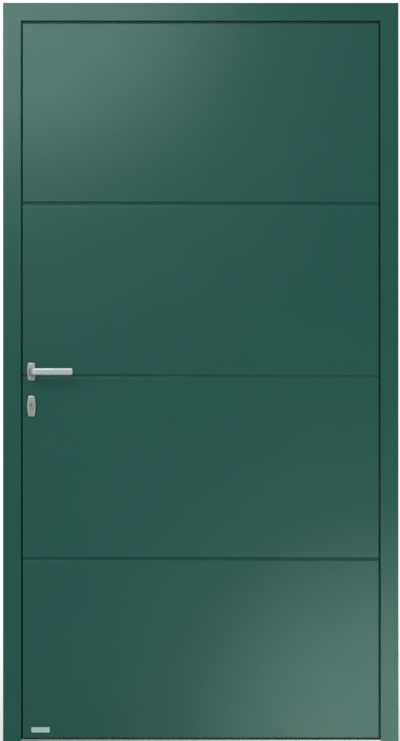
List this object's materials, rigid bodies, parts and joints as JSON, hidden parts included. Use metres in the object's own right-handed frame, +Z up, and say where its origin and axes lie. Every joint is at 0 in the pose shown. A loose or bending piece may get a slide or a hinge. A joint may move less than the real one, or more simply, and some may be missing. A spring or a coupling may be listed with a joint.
{
  "type": "front door with frame",
  "caption": "Flush insulated front door with pressed level grooves, hung inwards in its thermally broken frame, with lever handles, latch and a multi-point lock.",
  "frame": {"origin": "on the floor, at the middle of the frame's width and in the leaf's middle plane", "axes": "+X to the right seen from outside (hinge side), +Y inwards, +Z up"},
  "size_m": [1.1, 0.182, 2.07],
  "materials": {
    "frame_paint": "satin powder coat on aluminium",
    "leaf_paint": "satin powder coat on sheet steel",
    "polyamide": "matt extruded bars",
    "seal_rubber": "matt extruded rubber",
    "mill_aluminium": "satin anodised",
    "satin_steel": "fine brushed",
    "plain_steel": "drawn and deburred",
    "zinc_steel": "bright zinc plating",
    "nickel_brass": "satin nickel plating",
    "rigid_foam": "closed-cell foam",
    "edge_composite": "matt laminated composite"
  },
  "bodies": {
    "frame": {"lock_jamb_outer": "frame_paint", "lock_jamb_inner": "frame_paint", "hinge_jamb_outer": "frame_paint", "hinge_jamb_inner": "frame_paint", "head_outer": "frame_paint", "head_inner": "frame_paint", "thermal_break_bars": "polyamide", "corner_cleats": "mill_aluminium", "frame_seals": "seal_rubber", "threshold": "mill_aluminium", "threshold_seal": "seal_rubber", "strike_plate": "plain_steel", "upper_hook_keep": "plain_steel", "lower_hook_keep": "plain_steel", "dog_bolt_keeps": "plain_steel", "upper_hinge_base": "satin_steel", "middle_hinge_base": "satin_steel", "lower_hinge_base": "satin_steel", "hinge_pins": "satin_steel", "frame_screws": "zinc_steel"},
    "leaf": {"outer_skin": "leaf_paint", "inner_skin": "leaf_paint", "foam_core": "rigid_foam", "lock_stile": "edge_composite", "hinge_stile": "edge_composite", "top_rail": "edge_composite", "bottom_rail": "edge_composite", "bottom_seal": "seal_rubber", "forend": "plain_steel", "lock_case": "zinc_steel", "lock_cover": "zinc_steel", "upper_hook_case": "zinc_steel", "lower_hook_case": "zinc_steel", "hook_pivot_pins": "plain_steel", "cylinder_body": "nickel_brass", "cylinder_screw": "zinc_steel", "latch_spring": "plain_steel", "outer_lever_rose": "satin_steel", "inner_lever_rose": "satin_steel", "outer_key_rose": "satin_steel", "inner_key_rose": "satin_steel", "rose_bases": "zinc_steel", "rose_screws": "zinc_steel", "upper_hinge_wing": "satin_steel", "middle_hinge_wing": "satin_steel", "lower_hinge_wing": "satin_steel", "dog_bolts": "plain_steel", "leaf_screws": "zinc_steel"},
    "lever_set": {"outer_lever": "satin_steel", "inner_lever": "satin_steel", "spindle": "zinc_steel", "follower": "zinc_steel"},
    "latch": {"latch_bolt": "zinc_steel"},
    "key_set": {"key_plugs": "nickel_brass", "cylinder_cam": "plain_steel"},
    "deadbolt": {"deadbolt": "plain_steel"},
    "drive_rod": {"drive_rod": "zinc_steel"},
    "upper_hook": {"upper_hook": "plain_steel"},
    "lower_hook": {"lower_hook": "plain_steel"}
  },
  "joints": [
    {"name": "leaf_swing", "type": "hinge", "parent": "frame", "child": "leaf", "pos_m": [0.5195, 0.048, 1.035], "axis": [0, 0, -1], "range_deg": [0, 110]},
    {"name": "lever_turn", "type": "hinge", "parent": "leaf", "child": "lever_set", "pos_m": [-0.471, 0.019, 1.044], "axis": [0, 1, 0], "range_deg": [0, 45], "stiffness_Nm_per_rad": 1.2, "springref_deg": -45.84},
    {"name": "latch_slide", "type": "slide", "parent": "leaf", "child": "latch", "axis": [1, 0, 0], "range_m": [0, 0.0126], "deforming": ["latch_spring"]},
    {"name": "key_turn", "type": "hinge", "parent": "leaf", "child": "key_set", "pos_m": [-0.471, 0.019, 0.952], "axis": [0, -1, 0], "range_deg": [0, 360.5]},
    {"name": "deadbolt_slide", "type": "slide", "parent": "leaf", "child": "deadbolt", "axis": [-1, 0, 0], "range_m": [0, 0.0201]},
    {"name": "rod_slide", "type": "slide", "parent": "leaf", "child": "drive_rod", "axis": [0, 0, 1], "range_m": [0, 0.02]},
    {"name": "upper_hook_swing", "type": "hinge", "parent": "leaf", "child": "upper_hook", "pos_m": [-0.499, 0.019, 1.62], "axis": [0, 1, 0], "range_deg": [0, 90.2]},
    {"name": "lower_hook_swing", "type": "hinge", "parent": "leaf", "child": "lower_hook", "pos_m": [-0.499, 0.019, 0.48], "axis": [0, 1, 0], "range_deg": [0, 90.2]}
  ],
  "couplings": [
    {"joint": "latch_slide", "follows": "lever_turn", "m_per_rad": 0.015915},
    {"joint": "deadbolt_slide", "follows": "rod_slide", "ratio": 1},
    {"joint": "key_turn", "follows": "rod_slide", "rad_per_m": 314.16},
    {"joint": "upper_hook_swing", "follows": "rod_slide", "rad_per_m": 78.54},
    {"joint": "lower_hook_swing", "follows": "rod_slide", "rad_per_m": 78.54}
  ]
}
